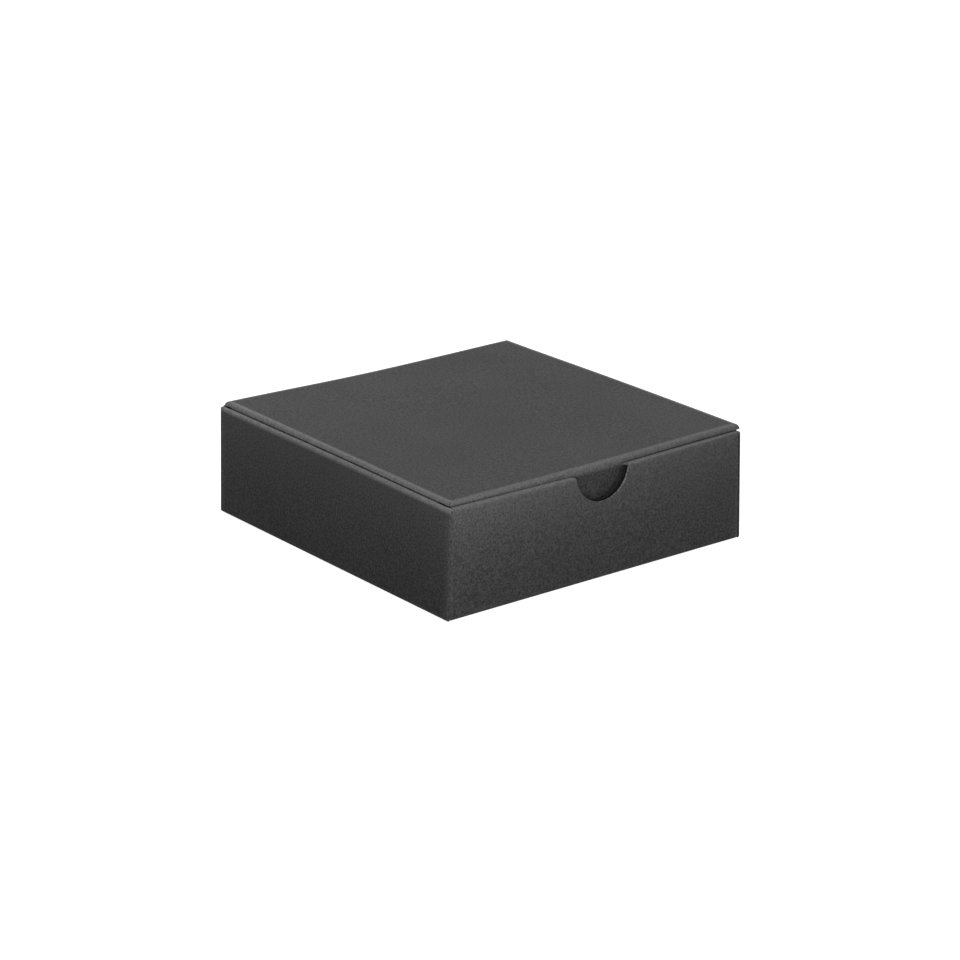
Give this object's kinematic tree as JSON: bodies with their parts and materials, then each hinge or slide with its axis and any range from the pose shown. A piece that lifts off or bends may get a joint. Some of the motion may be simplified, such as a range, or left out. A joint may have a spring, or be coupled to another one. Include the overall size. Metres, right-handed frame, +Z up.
{
  "type": "hinged-lid tuck-top gift box",
  "caption": "Shallow square gift box folded from one sheet of black card, with a hinged lid that tucks in behind rolled walls and a half-moon thumb notch in the front.",
  "frame": {"origin": "middle of the underside, on the surface the box rests on", "axes": "+X to the box's right seen from the front, +Y from the front wall with the thumb notch to the back wall with the lid's hinge crease, +Z up"},
  "size_m": [0.1016, 0.1016, 0.0318],
  "materials": {
    "black_card": "matt, uncoated, with a fine fibre grain"
  },
  "bodies": {
    "tray": {"base_panel": "black_card", "front_wall_outer": "black_card", "front_wall_top_left": "black_card", "front_wall_top_right": "black_card", "front_wall_inner": "black_card", "back_wall": "black_card", "left_wall_outer": "black_card", "left_wall_top": "black_card", "left_wall_inner": "black_card", "right_wall_outer": "black_card", "right_wall_top": "black_card", "right_wall_inner": "black_card", "front_left_corner_flap": "black_card", "front_right_corner_flap": "black_card", "back_left_corner_flap": "black_card", "back_right_corner_flap": "black_card", "lid_hinge_crease": "black_card"},
    "lid": {"lid_panel": "black_card", "tuck_crease": "black_card", "left_dust_crease": "black_card", "right_dust_crease": "black_card"},
    "tuck_flap": {"tuck_flap": "black_card"},
    "left_dust_flap": {"left_dust_flap": "black_card"},
    "right_dust_flap": {"right_dust_flap": "black_card"}
  },
  "joints": [
    {"name": "lid_hinge", "type": "hinge", "parent": "tray", "child": "lid", "pos_m": [0, 0.05034, 0.03129], "axis": [-1, 0, 0], "range_deg": [0, 180], "deforming": ["lid_hinge_crease"]},
    {"name": "tuck_fold", "type": "hinge", "parent": "lid", "child": "tuck_flap", "pos_m": [0, -0.04842, 0.03129], "axis": [1, 0, 0], "range_deg": [0, 75], "deforming": ["tuck_crease"]},
    {"name": "left_dust_fold", "type": "hinge", "parent": "lid", "child": "left_dust_flap", "pos_m": [-0.04892, 0, 0.03129], "axis": [0, -1, 0], "range_deg": [0, 75], "deforming": ["left_dust_crease"]},
    {"name": "right_dust_fold", "type": "hinge", "parent": "lid", "child": "right_dust_flap", "pos_m": [0.04892, 0, 0.03129], "axis": [0, 1, 0], "range_deg": [0, 75], "deforming": ["right_dust_crease"]}
  ]
}
